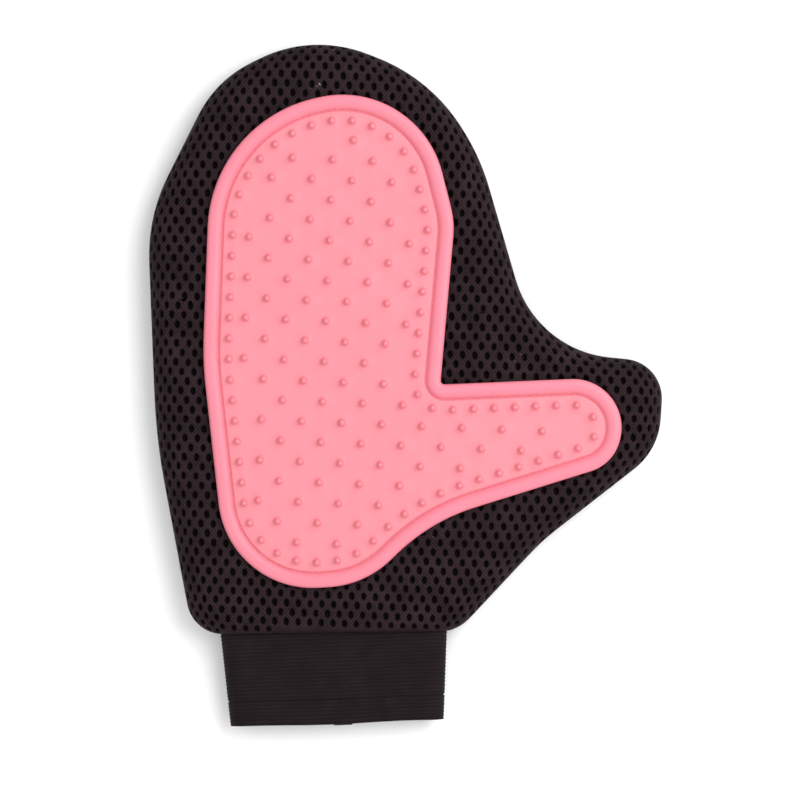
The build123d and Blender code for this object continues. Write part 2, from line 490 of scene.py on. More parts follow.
class GrowthNodes(GroupNodes):
    # a geometry tree that ends in real meshes with a material
    def __init__(self, name, inputs):
        geometry = [("Geometry", "Geometry")]
        super().__init__(name, "GeometryNodeTree", geometry + inputs + [("Material", "Material")], geometry)

    def around(self, label, centre=0.0):
        # a random number, at most the labelled input away from the centre
        value = self.add("FunctionNodeRandomValue", data_type="FLOAT")
        self.join(self.calc("SUBTRACT", centre, self.begin[label]), value.inputs[2])
        self.join(self.calc("ADD", centre, self.begin[label]), value.inputs[3])
        self.join(self.begin["Seed"], value.inputs["Seed"])
        return value.outputs[1]

    def turned(self, angle):
        angles = self.add("ShaderNodeCombineXYZ")
        self.join(angle, angles.inputs["Z"])
        rotation = self.add("FunctionNodeEulerToRotation")
        self.join(angles.outputs[0], rotation.inputs[0])
        return rotation.outputs[0]

    def placed(self, points, piece, rotation):
        info = self.add("GeometryNodeObjectInfo")
        self.join(piece, info.inputs["Object"])
        place = self.add("GeometryNodeInstanceOnPoints")
        self.join(points, place.inputs["Points"])
        self.join(info.outputs["Geometry"], place.inputs["Instance"])
        self.join(rotation, place.inputs["Rotation"])
        return place

    def end(self, last):
        real = self.add("GeometryNodeRealizeInstances")
        paint = self.add("GeometryNodeSetMaterial")
        self.join(last, real.inputs["Geometry"])
        self.join(real.outputs[0], paint.inputs["Geometry"])
        self.join(self.begin["Material"], paint.inputs["Material"])
        self.join(paint.outputs[0], self.out[0])
        return self.tree


def spreadTree():
    nodes = GrowthNodes("spreadPieces", [
        ("Piece", "Object"), ("Turn", "Float", 0.0), ("Size change", "Float", 0.0), ("Seed", "Int", 1),
    ])
    begin = nodes.begin
    place = nodes.placed(begin["Geometry"], begin["Piece"], nodes.turned(nodes.around("Turn")))
    nodes.join(nodes.around("Size change", 1.0), place.inputs["Scale"])
    return nodes.end(place.outputs[0])


def stitchTree():
    nodes = GrowthNodes("stitchRun", [
        ("Stitch", "Object"), ("Pitch", "Float", 2.8 * mm), ("Lean", "Float", 0.0), ("Seed", "Int", 1),
    ])
    begin = nodes.begin
    curve = nodes.add("GeometryNodeMeshToCurve")
    points = nodes.add("GeometryNodeCurveToPoints", mode="LENGTH")
    nodes.join(begin["Geometry"], curve.inputs[0])
    nodes.join(curve.outputs[0], points.inputs["Curve"])
    nodes.join(begin["Pitch"], points.inputs["Length"])
    follow = nodes.add("FunctionNodeAlignRotationToVector", axis="X", pivot_axis="Z")
    nodes.join(points.outputs["Tangent"], follow.inputs["Vector"])
    leaning = nodes.add("FunctionNodeRotateRotation", rotation_space="LOCAL")
    nodes.join(follow.outputs[0], leaning.inputs["Rotation"])
    nodes.join(nodes.turned(nodes.around("Lean")), leaning.inputs["Rotate By"])
    place = nodes.placed(points.outputs["Points"], begin["Stitch"], leaning.outputs[0])
    return nodes.end(place.outputs[0])


def ribTree():
    nodes = GrowthNodes("elasticRibs", [
        ("Rib pitch", "Float", 1.3 * mm), ("Rib height", "Float", 0.2 * mm),
        ("Line place", "Float", 23 * mm), ("Line depth", "Float", 0.2 * mm),
    ])
    begin, calc = nodes.begin, nodes.calc
    along = nodes.add("GeometryNodeInputNamedAttribute", data_type="FLOAT")
    along.inputs["Name"].default_value = "along"
    share = calc("DIVIDE", along.outputs["Attribute"], begin["Rib pitch"])
    lift = calc("MULTIPLY", calc("COSINE", calc("MULTIPLY", share, math.tau)), begin["Rib height"])
    away = calc("SUBTRACT", along.outputs["Attribute"], begin["Line place"])
    near = calc("COMPARE", away, 0)
    near.node.inputs[2].default_value = cuff["lineHalf"]
    dip = calc("MULTIPLY", near, begin["Line depth"])
    push = nodes.add("ShaderNodeVectorMath", operation="SCALE")
    nodes.join(nodes.add("GeometryNodeInputNormal").outputs[0], push.inputs[0])
    nodes.join(calc("SUBTRACT", lift, dip), push.inputs["Scale"])
    move = nodes.add("GeometryNodeSetPosition")
    nodes.join(begin["Geometry"], move.inputs["Geometry"])
    nodes.join(push.outputs[0], move.inputs["Offset"])
    return nodes.end(move.outputs[0])


def grow(obj, tree, **values):
    # runs a tree on an object and returns the plain mesh
    modifier = obj.modifiers.new(tree.name, "NODES")
    modifier.node_group = tree
    ids = {
        item.name: item.identifier
        for item in tree.interface.items_tree
        if item.item_type == "SOCKET" and item.in_out == "INPUT"
    }
    for label, value in values.items():
        modifier[ids[label.replace("_", " ")]] = value
    graph = bpy.context.evaluated_depsgraph_get()
    done = obj.evaluated_get(graph)
    mesh = bpy.data.meshes.new_from_object(done, preserve_all_data_layers=True, depsgraph=graph)
    obj.modifiers.remove(modifier)
    return mesh


def meshArray(mesh):
    co = np.zeros(len(mesh.vertices) * 3)
    mesh.vertices.foreach_get("co", co)
    return co.reshape(-1, 3)


def drop(*objects):
    for obj in objects:
        mesh = obj.data
        bpy.data.objects.remove(obj)
        bpy.data.meshes.remove(mesh)


def spreadCopies(spots, piece, sides, turn, sizeChange, seed, material):
    # copies of a piece on every spot: points, faces, open rims and the rim that each point is on
    rail = linkMesh("spots", [(*p, 0) for p in spots], [])
    copies = grow(rail, spread, Piece=piece, Turn=turn, Size_change=sizeChange, Seed=seed, Material=material)
    drop(rail)
    per = len(piece.data.vertices)
    starts = range(0, len(spots) * per, per)
    loops = [list(range(start, start + sides)) for start in starts]
    loopOf = np.full(len(spots) * per, -1)
    for k, loop in enumerate(loops):
        loopOf[loop] = k
    return meshArray(copies), [tuple(p.vertices) for p in copies.polygons], loops, loopOf


def ringStack(name, levels, sides, first, tip):
    # ovals one over the other, closed by a point; open at the first oval
    verts, faces = [], []
    for wide, long, height in levels:
        for j in range(sides):
            angle = (j + first) * math.tau / sides
            verts.append((math.cos(angle) * wide, math.sin(angle) * long, height))
    for k in range(len(levels) - 1):
        for j in range(sides):
            n = (j + 1) % sides
            faces.append((k * sides + j, k * sides + n, (k + 1) * sides + n, (k + 1) * sides + j))
    verts.append((0, 0, tip))
    last = (len(levels) - 1) * sides
    faces += [(last + j, last + (j + 1) % sides, len(verts) - 1) for j in range(sides)]
    return linkMesh(name, verts, faces)


def yarnGroup():
    # crossed waves with noise: the fine yarns of a knit or weave
    nodes = GroupNodes("yarnGrain", "ShaderNodeTree", [
        ("Vector", "Vector"), ("Scale", "Float", 900.0), ("Unevenness", "Float", 0.5),
        ("Contrast", "Float", 1.0),
    ], [("Shade", "Float"), ("Height", "Float")])
    begin, calc = nodes.begin, nodes.calc
    waves = []
    for turn in (0.7, -0.7):
        turned = nodes.add("ShaderNodeMapping")
        turned.inputs["Rotation"].default_value = (0, 0, turn)
        nodes.join(begin["Vector"], turned.inputs["Vector"])
        wave = nodes.add("ShaderNodeTexWave")
        wave.inputs["Distortion"].default_value = 2.5
        wave.inputs["Detail"].default_value = 1.0
        nodes.join(turned.outputs[0], wave.inputs["Vector"])
        nodes.join(begin["Scale"], wave.inputs["Scale"])
        waves.append(wave.outputs[1])
    weave = calc("MULTIPLY", calc("MAXIMUM", *waves), 0.6)
    noise = nodes.noise(begin["Vector"], calc("MULTIPLY", begin["Scale"], 0.35), 4)
    height = calc("ADD", weave, calc("MULTIPLY", noise, begin["Unevenness"]))
    nodes.join(height, nodes.out["Height"])
    shade = calc("MULTIPLY", calc("SUBTRACT", height, 0.7), begin["Contrast"])
    nodes.join(calc("MAXIMUM", calc("ADD", shade, 1.1), 0.1), nodes.out["Shade"])
    return nodes.tree


def speckGroup():
    # sparse pale lint caught on a surface
    nodes = GroupNodes("lintSpecks", "ShaderNodeTree", [
        ("Vector", "Vector"), ("Scale", "Float", 600.0), ("Threshold", "Float", 0.7),
    ], [("Mask", "Float")])
    begin, calc = nodes.begin, nodes.calc
    fine = nodes.noise(begin["Vector"], begin["Scale"], 2)
    broad = nodes.noise(begin["Vector"], calc("MULTIPLY", begin["Scale"], 0.06), 1)
    total = calc("ADD", calc("MULTIPLY", fine, 0.65), calc("MULTIPLY", broad, 0.35))
    over = calc("SUBTRACT", total, begin["Threshold"])
    nodes.join(calc("MULTIPLY", over, 25.0, clamp=True), nodes.out["Mask"])
    return nodes.tree


def blotchGroup():
    # slow changes of tone, as in moulded rubber and worn cloth
    nodes = GroupNodes("toneBlotches", "ShaderNodeTree", [
        ("Vector", "Vector"), ("Scale", "Float", 40.0), ("Amount", "Float", 0.1),
    ], [("Tone", "Float"), ("Grain", "Float")])
    begin, calc = nodes.begin, nodes.calc
    centred = calc("SUBTRACT", nodes.noise(begin["Vector"], begin["Scale"], 3), 0.5)
    nodes.join(calc("ADD", calc("MULTIPLY", centred, begin["Amount"]), 1.0), nodes.out["Tone"])
    fineScale = calc("MULTIPLY", begin["Scale"], 30.0)
    nodes.join(nodes.noise(begin["Vector"], fineScale, 5), nodes.out["Grain"])
    return nodes.tree


yarnGrain = yarnGroup()
lintSpecks = speckGroup()
toneBlotches = blotchGroup()


class FinishNodes(NodeTools):
    # a material's tree round its main shader
    def __init__(self, name, roughness, **constants):
        self.material = bpy.data.materials.new(name)
        self.material.use_nodes = True
        super().__init__(self.material.node_tree)
        self.shader = self.tree.nodes["Principled BSDF"]
        self.shader.inputs["Roughness"].default_value = roughness
        for label, value in constants.items():
            self.shader.inputs[label.replace("_", " ")].default_value = value
        self.place = self.add("ShaderNodeTexCoord").outputs["Object"]

    def group(self, tree, **values):
        node = self.add("ShaderNodeGroup", node_tree=tree)
        self.join(self.place, node.inputs["Vector"])
        for label, value in values.items():
            node.inputs[label].default_value = value
        return node.outputs

    def attribute(self, label):
        return self.add("ShaderNodeAttribute", attribute_name=label).outputs["Fac"]

    def done(self, colour, height, strength, depth):
        self.join(colour, self.shader.inputs["Base Color"])
        bump = self.add("ShaderNodeBump")
        bump.inputs["Strength"].default_value = strength
        bump.inputs["Distance"].default_value = depth
        self.join(height, bump.inputs["Height"])
        self.join(bump.outputs[0], self.shader.inputs["Normal"])
        return self.material


finish = {
    "strand": (0.0118, 0.0064, 0.0078, 1),
    # painted shade: the near-black painted into the mesh's pits, onto the lining and onto the black stitch
    # ends
    "pitShade": (0.0022, 0.0008, 0.0012, 1),
    "lint": (0.42, 0.40, 0.40, 1),
    "elastic": (0.0082, 0.0050, 0.0058, 1),
    "elasticLine": (0.0045, 0.003, 0.003, 1),
    "rubber": (0.735, 0.217, 0.258, 1),
    "rubberRim": (0.70, 0.198, 0.258, 1),
    # painted shade for the stitch groove and the pad's foot
    "rubberPaintedShade": (0.70, 0.150, 0.20, 1),
    "pinkYarn": (0.68, 0.17, 0.22, 1),
    # painted shade at the ends of the pink stitches, where the yarn goes into the groove
    "yarnDiveShade": (0.33, 0.055, 0.085, 1),
    "blackYarn": (0.02, 0.018, 0.019, 1),
}


def spacerMaterial():
    nodes = FinishNodes("spacerMesh", 0.75, Specular_IOR_Level=0.08)
    yarn = nodes.group(yarnGrain, Scale=330.0, Unevenness=0.9, Contrast=2.4)
    specks = nodes.group(lintSpecks, Scale=900.0, Threshold=0.715)
    tone = nodes.group(toneBlotches, Scale=60.0, Amount=0.5)
    strand = nodes.shaded(finish["strand"], nodes.calc("MULTIPLY", yarn["Shade"], tone["Tone"]))
    # painted shade: the cloth is painted darker the deeper it lies in a pit, and the lining a little darker
    colour = nodes.mix(nodes.attribute("pitShade"), strand, finish["pitShade"])
    colour = nodes.mix(nodes.calc("MULTIPLY", specks["Mask"], 0.5), colour, finish["lint"])
    return nodes.done(colour, yarn["Height"], 0.6, 0.25 * mm)


def elasticMaterial():
    nodes = FinishNodes("ribbedElastic", 0.7, Specular_IOR_Level=0.08)
    calc = nodes.calc
    yarn = nodes.group(yarnGrain, Scale=520.0, Unevenness=0.9, Contrast=1.6)
    tone = nodes.group(toneBlotches, Scale=55.0, Amount=0.3)
    along = nodes.attribute("along")
    # painted shade: the rib valleys are painted darker and the crests lighter, over the ribs that the
    # geometry has
    rib = calc("COSINE", calc("MULTIPLY", along, math.tau / cuff["ribPitch"]))
    ribPaintedShade = calc("ADD", calc("MULTIPLY", rib, 0.24), 0.85)
    shade = calc("MULTIPLY", calc("MULTIPLY", ribPaintedShade, yarn["Shade"]), tone["Tone"])
    colour = nodes.shaded(finish["elastic"], shade)
    away = calc("ABSOLUTE", calc("SUBTRACT", along, cuff["linePlace"]))
    near = calc("SUBTRACT", 1.0, calc("MULTIPLY", away, 1 / cuff["lineFade"]), clamp=True)
    lined = calc("MULTIPLY", near, nodes.attribute("lineShare"))
    colour = nodes.mix(lined, colour, finish["elasticLine"])
    return nodes.done(colour, yarn["Height"], 0.5, 0.2 * mm)


def rubberMaterial():
    nodes = FinishNodes("softRubber", 0.46, Specular_IOR_Level=0.42, Subsurface_Weight=0.12,
                        Subsurface_Scale=0.6 * mm, Subsurface_Radius=(1.0, 0.35, 0.3))
    tone = nodes.group(toneBlotches, Scale=45.0, Amount=0.10)
    colour = nodes.mix(nodes.attribute("rimShare"), finish["rubber"], finish["rubberRim"])
    # painted shade in the stitch groove and round the pad's foot
    colour = nodes.mix(nodes.attribute("shadeEdge"), colour, finish["rubberPaintedShade"])
    return nodes.done(nodes.shaded(colour, tone["Tone"]), tone["Grain"], 0.12, 0.12 * mm)


def yarnMaterial(name, colour, diveShade):
    nodes = FinishNodes(name, 0.6, Sheen_Weight=0.15)
    yarn = nodes.group(yarnGrain, Scale=1600.0, Unevenness=0.5)
    # painted shade at both ends of each stitch, where the yarn goes down into the cloth
    colour = nodes.mix(nodes.attribute("diveShade"), nodes.shaded(colour, yarn["Shade"]), diveShade)
    return nodes.done(colour, yarn["Height"], 0.5, 0.1 * mm)


panel = {
    "pitchAcross": 4.35 * mm,
    "pitchAlong": 3.3 * mm,
    "gather": 0.1,  # how much closer the holes stand at the cuff
    "gatherStart": -45 * mm,
    "gatherReach": 60 * mm,
    "spareAcross": 25 * mm,
    "spareAlong": 8 * mm,
    "holeWidth": 2.35 * mm,
    "holeLength": 3.6 * mm,
    "holeLevels": [(1.0, 0.0), (0.84, 0.2), (0.68, 0.75), (0.5, 1.45)],  # share of the size, millimetres down
    "holeBottom": 1.6 * mm,
    "holeSides": 8,
    "holeTurn": 0.08,
    "holeInset": 1.9 * mm,
    "holeUnderPad": 1.0 * mm,
    "pitDepth": 0.75 * mm,
    "sizeChange": 0.05,
    "edgeInsets": (0.0, 0.7 * mm, 1.5 * mm),
    "seamClear": 0.05 * mm,
    "mouthClear": 0.2 * mm,
    "thickness": 3.0 * mm,
    "liningInsets": (3.0 * mm, 4.2 * mm, 6.5 * mm, 9.5 * mm),
    "tuck": 0.9 * mm,
    "tuckReach": 2.0 * mm,
    "ripple": 0.22 * mm,
    "rippleStart": 12 * mm,
    "backRipple": 1.2,
    "swell": 0.25 * mm,  # the cloth stands up a little round the pad
    "swellPlace": 5 * mm,
    "swellReach": 3 * mm,
    "press": 0.45 * mm,  # and is pressed down under it
    "pressStart": 1.5 * mm,
    "pressReach": 2.5 * mm,
    "pleat": 0.175 * mm,
    "pleatReach": 9 * mm,
    "pleatHalf": 46 * mm,
    "pleatInset": 3 * mm,
}

cuff = {
    "middle": -25.3 * mm,
    "start": wristY + 0.65 * mm,
    "turn": math.radians(2.0),
    "width": 79.5 * mm,
    "endWidth": 75.0 * mm,
    "height": 11.0 * mm,
    "wall": 1.2 * mm,
    "inside": 10.0 * mm,
    "mouthReach": 8 * mm,
    "length": 31.7 * mm,
    "droop": 2.0 * mm,
    "centre": 9.0 * mm,
    "ribPitch": 1.32 * mm,
    "ribHeight": 0.16 * mm,
    "linePlace": 23.1 * mm,
    "lineDepth": 0.25 * mm,
    "lineHalf": 0.35 * mm,
    "lineFade": 0.45 * mm,
    "sides": 132,
    "tabPlace": 2.0 * mm,
    "tabWidth": 7.6 * mm,
    "tabThickness": 1.1 * mm,
    "tabReach": 1.2 * mm,
    "tabRound": 0.8 * mm,
    "tabRows": 96,
}

sheetGrid = ((-90, -90), (95, 120))  # corners in millimetres
padGrid = ((-80, -80), (85, 105))


def gridPoints(corners, step):
    xs, ys = (np.arange(low, high, step) * mm for low, high in zip(*corners))
    return np.array([(x, y) for x in xs for y in ys])


class PointList:
    # points gathered block by block; each block's ids come back
    def __init__(self):
        self.blocks, self.count = [], 0

    def add(self, points):
        ids = list(range(self.count, self.count + len(points)))
        self.blocks.append(points)
        self.count += len(points)
        return ids


def fillPoints(points, border, loops, line, free, loopOf=()):
    # the gathered points and the triangles between them
    flat = np.vstack(points.blocks)
    owner = np.full(len(flat), -1)
    owner[:len(loopOf)] = loopOf
    owner[free] = -2
    return flat, *fillFlat(flat, border, loops, [line], owner)


def mouthHalf(points):
    # half the height that the cuff takes at each place in the mouth, or zero
    across = (points[:, 0] - cuff["middle"]) / math.cos(cuff["turn"])
    radius = cuff["height"] / 2
    over = np.clip(np.abs(across) - (cuff["width"] / 2 - radius), 0, None) / radius
    half = radius * np.sqrt(np.clip(1 - over ** 2, 0, 1))
    return np.where(points[:, 1] < wristY + cuff["mouthReach"], half, 0)


def ripple(points, size):
    # slow waves of cloth that lies loose
    x, y = points[:, 0] / mm, points[:, 1] / mm
    wave = (np.sin(0.071 * x + 0.043 * y + 1.3) + np.sin(-0.052 * x + 0.088 * y + 4.1)
            + 0.7 * np.sin(0.13 * x + 0.11 * y + 2.2) + 0.5 * np.sin(0.21 * x - 0.17 * y + 0.4))
    return wave / 3.2 * size


def panelEdge(side):
    # how the sheet comes down to the seam at each place of the outline
    up = side["up"]
    half = mouthHalf(mittRing)
    seam = side["seam"] + up * panel["seamClear"]
    mouth = cuff["centre"] + up * (half + panel["mouthClear"])
    further = np.maximum if up > 0 else np.minimum
    rim = soften(np.where(half > 0, further(seam, mouth), seam), 3)
    fall = np.abs(side["face"] - rim)
    wide = np.minimum(side["round"], soften(fall, 6))
    arc = math.pi / 2 * np.sqrt((wide ** 2 + fall ** 2) / 2)
    return {"rim": rim, "fall": fall, "wide": wide, "arc": arc, "extra": arc - wide}


def holeSpots(edgeRing, covered):
    # staggered rows that run with the finger fold and draw in towards the cuff
    level, pitch, row = cut["back"], panel["pitchAcross"], panel["pitchAlong"]
    across = foldPlace(mittRing, fingerFold, acrossWay)
    along = foldPlace(mittRing, fingerFold, fingerWay)
    low, high = across.min() - panel["spareAcross"], across.max() + panel["spareAcross"]
    bottom, top = along.min() - panel["spareAlong"], along.max() + panel["spareAlong"]
    spots = []
    for k in range(math.floor((bottom - level) / row), math.ceil((top - level) / row)):
        first = 0.5 if k % 2 == 0 else 0.0  # the cut weaves between the holes
        for i in range(math.floor(low / pitch), math.ceil(high / pitch)):
            spots.append(((i + first) * pitch, level + (k + 0.5) * row))
    spots = np.array(spots)
    spots = fingerFold + spots[:, :1] * acrossWay + spots[:, 1:] * fingerWay
    gather = np.clip((panel["gatherStart"] - spots[:, 1]) / panel["gatherReach"], 0, 1)
    spots[:, 0] += (cuff["middle"] - spots[:, 0]) * panel["gather"] * gather
    keep = ringField(spots, edgeRing)[0] > panel["holeInset"]
    if covered:
        keep &= ringField(spots, padRing)[0] < panel["holeUnderPad"]
    return spots[keep]


def coveredPoints():
    # plain cloth under the pad: a grid, and a track inside the pad's edge
    level = cut["back"]
    grid = gridPoints(sheetGrid, 6.0)
    grid = grid[ringField(grid, padRing)[0] > 3.5 * mm]
    grid = grid[np.abs(overCut(grid, level, 0)) > 2.5 * mm]
    track = padRing + ringNormals(padRing) * 3.2 * mm
    track = track[np.abs(overCut(track, level, 0)) > 2.0 * mm][::2]
    return np.vstack([grid, track])


def rollOver(flat, edge, side):
    # lays the flat sheet over the face and round the edge down to the seam
    into, way, place = ringField(flat, mittRing)
    arc, wide, fall, extra = (ringValue(edge[key], place) for key in ("arc", "wide", "fall", "extra"))
    run = into + extra
    lean = math.pi / 2 * np.clip(1 - run / arc, 0, 1)
    shift = np.where(run < arc, wide * (1 - np.sin(lean)) - into, 0)
    shift += panel["tuck"] * np.clip(1 - run / panel["tuckReach"], 0, 1) ** 2
    height = side["face"] - side["up"] * fall * (1 - np.cos(lean))
    normal = np.column_stack([-way * (np.sin(lean) / wide)[:, None], side["up"] * np.cos(lean) / fall])
    normal /= np.linalg.norm(normal, axis=1)[:, None]
    return flat + way * shift[:, None], height, normal, run


def looseness(xy, run, side):
    # slow waves, the press of the pad and the gathers at the mouth
    calm = np.clip(run / panel["rippleStart"], 0, 1) ** 2
    wave = ripple(xy, panel["ripple"])
    if not side["covered"]:
        return calm * np.abs(wave) * panel["backRipple"]
    under = ringField(xy, padRing)[0]
    press = np.clip((under + panel["pressStart"]) / panel["pressReach"], 0, 1)
    press = press * press * (3 - 2 * press)
    swell = panel["swell"] * np.exp(-((under + panel["swellPlace"]) / panel["swellReach"]) ** 2)
    lift = calm * (wave + swell) * (1 - press) - press * panel["press"]
    x, y = xy[:, 0], xy[:, 1]
    near = np.exp(-np.clip(y - wristY, 0, 1) / panel["pleatReach"])
    near *= (np.abs(x - cuff["middle"]) < panel["pleatHalf"]) * np.clip(run / panel["pleatInset"], 0, 1)
    pleat = np.sin((x + 0.35 * y) / mm * 0.62) + 0.6 * np.sin((x - 0.2 * y) / mm * 1.03 + 1)
    return lift + panel["pleat"] * pleat * near


def makeLining(edge, side):
    # the inner face of the mesh and the sides of the cut that its walls are on
    level = cut["back"]
    limit = soften(np.minimum(1, edge["wide"] / side["round"]), 10)
    start = panel["thickness"] * (0.75 + 0.25 * limit)
    rings = []
    for into in panel["liningInsets"]:
        inset = start + (into - panel["thickness"]) * limit
        rings.append(mittRing + ringNormals(mittRing) * inset[:, None])
    picks = pinToCut(rings, level, 0)
    points = PointList()
    ids = [points.add(ring) for ring in rings]
    ends = [rings[-1][k] for k in picks[-1]]
    lineIds = points.add(cutPoints(*ends, level, 0, 3 * panel["pitchAcross"]))
    grid = gridPoints(sheetGrid, 7.0)
    grid = grid[ringField(grid, rings[-1])[0] > 2.5 * mm]
    free = points.add(grid[np.abs(overCut(grid, level, 0)) > 2.5 * mm])
    flat, tris, middles = fillPoints(points, ids[0], ids[1:], lineThrough(ids, picks, lineIds), free)

    into, _, place = ringField(flat, rings[0])
    rim = ringValue(edge["rim"], place)
    share = np.clip(into / ringValue(np.maximum(edge["wide"], panel["thickness"]), place), 0, 1)
    rise = np.sqrt(np.clip(1 - (1 - share) ** 2, 0, 1))
    height = rim + (side["face"] - side["up"] * panel["thickness"] - rim) * rise
    height = np.maximum(height, rim) if side["up"] > 0 else np.minimum(height, rim)
    walls = (rings[0] + np.roll(rings[0], -1, 0)) / 2
    over = [overCut(spots, level, 0) > 0 for spots in (middles, walls)]
    return np.column_stack([flat, height]), tris, ids[0], list(np.concatenate(over))


def makePanel(side):
    level, zigzag = cut["back"], cut["zigzag"]
    edge = panelEdge(side)
    rings = [
        mittRing + ringNormals(mittRing) * (into - edge["extra"])[:, None]
        for into in panel["edgeInsets"]
    ]
    picks = pinToCut(rings, level, zigzag)
    spots = holeSpots(rings[-1], side["covered"])
    cups, cupFaces, loops, loopOf = spreadCopies(
        spots, cupPiece, panel["holeSides"], panel["holeTurn"], panel["sizeChange"], side["seed"], spacerMesh)
    points = PointList()
    points.add(cups[:, :2])
    ids = [points.add(ring) for ring in rings]
    ends = [rings[-1][k] for k in picks[-1]]
    lineIds = points.add(cutPoints(*ends, level, zigzag, panel["pitchAcross"]))
    free = points.add(coveredPoints()) if side["covered"] else []
    line = lineThrough(ids, picks, lineIds)
    flat, tris, middles = fillPoints(points, ids[0], loops + ids[1:], line, free, loopOf)
    faces = [tuple(t) for t in tris] + cupFaces
    upper = list(overCut(middles, level, zigzag) > 0)
    upper += list(np.repeat(overCut(spots, level, zigzag) > 0, len(cupPiece.data.polygons)))

    xy, height, normal, run = rollOver(flat, edge, side)
    depth = np.zeros(len(flat))
    depth[:len(cups)] = -cups[:, 2]
    body = np.column_stack([xy, height + looseness(xy, run, side)]) - normal * depth[:, None]
    lining, liningTris, liningRing, liningUpper = makeLining(edge, side)
    offset = len(body)
    faces += [tuple((t + offset)[::-1]) for t in liningTris]
    faces += [(q[0], q[3], q[2], q[1]) for q in ringQuads(ids[0], [i + offset for i in liningRing])]
    if side["up"] < 0:
        faces = [f[::-1] for f in faces]
    # painted shade: none on the open cloth, full from 0.75 mm down in a pit, and 0.3 of it on the whole
    # lining
    pitShade = np.concatenate([np.clip(depth / panel["pitDepth"], 0, 1), np.full(len(lining), 0.3)])
    return np.vstack([body, lining]), faces, upper + liningUpper, {"pitShade": pitShade}


def holeCup(name):
    # a pit with a rounded lip, deepest in the middle
    wide, long = panel["holeWidth"] / 2, panel["holeLength"] / 2
    levels = [(share * wide, share * long, -down * mm) for share, down in panel["holeLevels"]]
    return ringStack(name, levels, panel["holeSides"], 0.5, -panel["holeBottom"])


def bendPieces(upper, lower):
    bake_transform(upper)
    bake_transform(lower)


def settle(pair, kind, material):
    upper, lower = pair
    for obj in pair:
        obj.data.materials.clear()
        obj.data.materials.append(material)
    bendPieces(upper, lower)
    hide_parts("finger_" + kind)
    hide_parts("hand_" + kind, "thumb_" + kind)


spread = spreadTree()
stitches = stitchTree()
ribs = ribTree()
spacerMesh = spacerMaterial()
ribbedElastic = elasticMaterial()
softRubber = rubberMaterial()
pinkYarn = yarnMaterial("pinkYarn", finish["pinkYarn"], finish["yarnDiveShade"])
blackYarn = yarnMaterial("blackYarn", finish["blackYarn"], finish["pitShade"])

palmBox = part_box("hand_palm_mesh")
cupPiece = holeCup("cup")
panels = {
    "palm_mesh": {"face": palmBox[1].z, "seam": palmBox[0].z, "up": 1, "round": 7.5 * mm,
                  "covered": True, "seed": 3},
    "back_mesh": {"face": 0.0, "seam": palmBox[0].z, "up": -1, "round": 6.0 * mm,
                  "covered": False, "seed": 8},
}
for kind, side in panels.items():
    pair = cutPieces(("finger_" + kind + "_piece", "wrist_" + kind + "_piece"), *makePanel(side))
    settle(pair, kind, spacerMesh)
drop(cupPiece)
print("mesh panels made")

pad = {
    "rim": [  # how far in from the edge, and the height over the mesh, in millimetres
        (0.5, -0.35), (0.05, -0.1), (0.0, 0.5), (0.0, 1.2), (0.14, 1.75), (0.5, 2.18), (1.1, 2.47),
        (1.8, 2.61), (2.5, 2.65), (3.2, 2.58), (3.8, 2.40), (4.3, 2.12), (4.7, 1.78), (4.95, 1.50),
        (5.1, 1.22), (5.35, 1.12), (5.6, 1.22), (5.75, 1.46), (5.95, 1.57), (6.4, 1.6),
    ],
    "rimWidth": 4.9 * mm,
    "footRadius": 2.0 * mm,
    "tipRadius": 1.15 * mm,
    "nubHeight": 2.68 * mm,
    "nubSides": 10,
    "nubTurn": 0.3,
    "nubClear": 2.9 * mm,
    "unevenness": 0.03,
    "fieldRipple": 0.12 * mm,
    "rippleStart": 7 * mm,
    "rippleReach": 8 * mm,
    "stitchInset": 5.35 * mm,
    "stitchPitch": 2.3 * mm,
    "grooveHalf": 0.42 * mm,
    "skirt": 0.9 * mm,
    "edgeInset": 9.0 * mm,
    "edgePitch": 7.2 * mm,
    "column": 14.0 * mm,
    "row": 7.05 * mm,
    "rowFrom": 4 * mm,
    "apart": 4.6 * mm,
    "foldClear": 2.7 * mm,
    "cutRange": (-24, -17.5),
}


def nubPiece(name):
    foot, tip, tall = pad["footRadius"], pad["tipRadius"], pad["nubHeight"]
    levels = [
        (foot, 0.0), (foot * 0.84, 0.10 * mm), (foot * 0.70, 0.38 * mm), (tip * 1.04, 0.9 * mm),
        (tip * 0.9, 1.55 * mm), (tip * 0.72, tall * 0.78), (tip * 0.4, tall * 0.95),
    ]
    return ringStack(name, [(radius, radius, height) for radius, height in levels], pad["nubSides"], 0, tall)


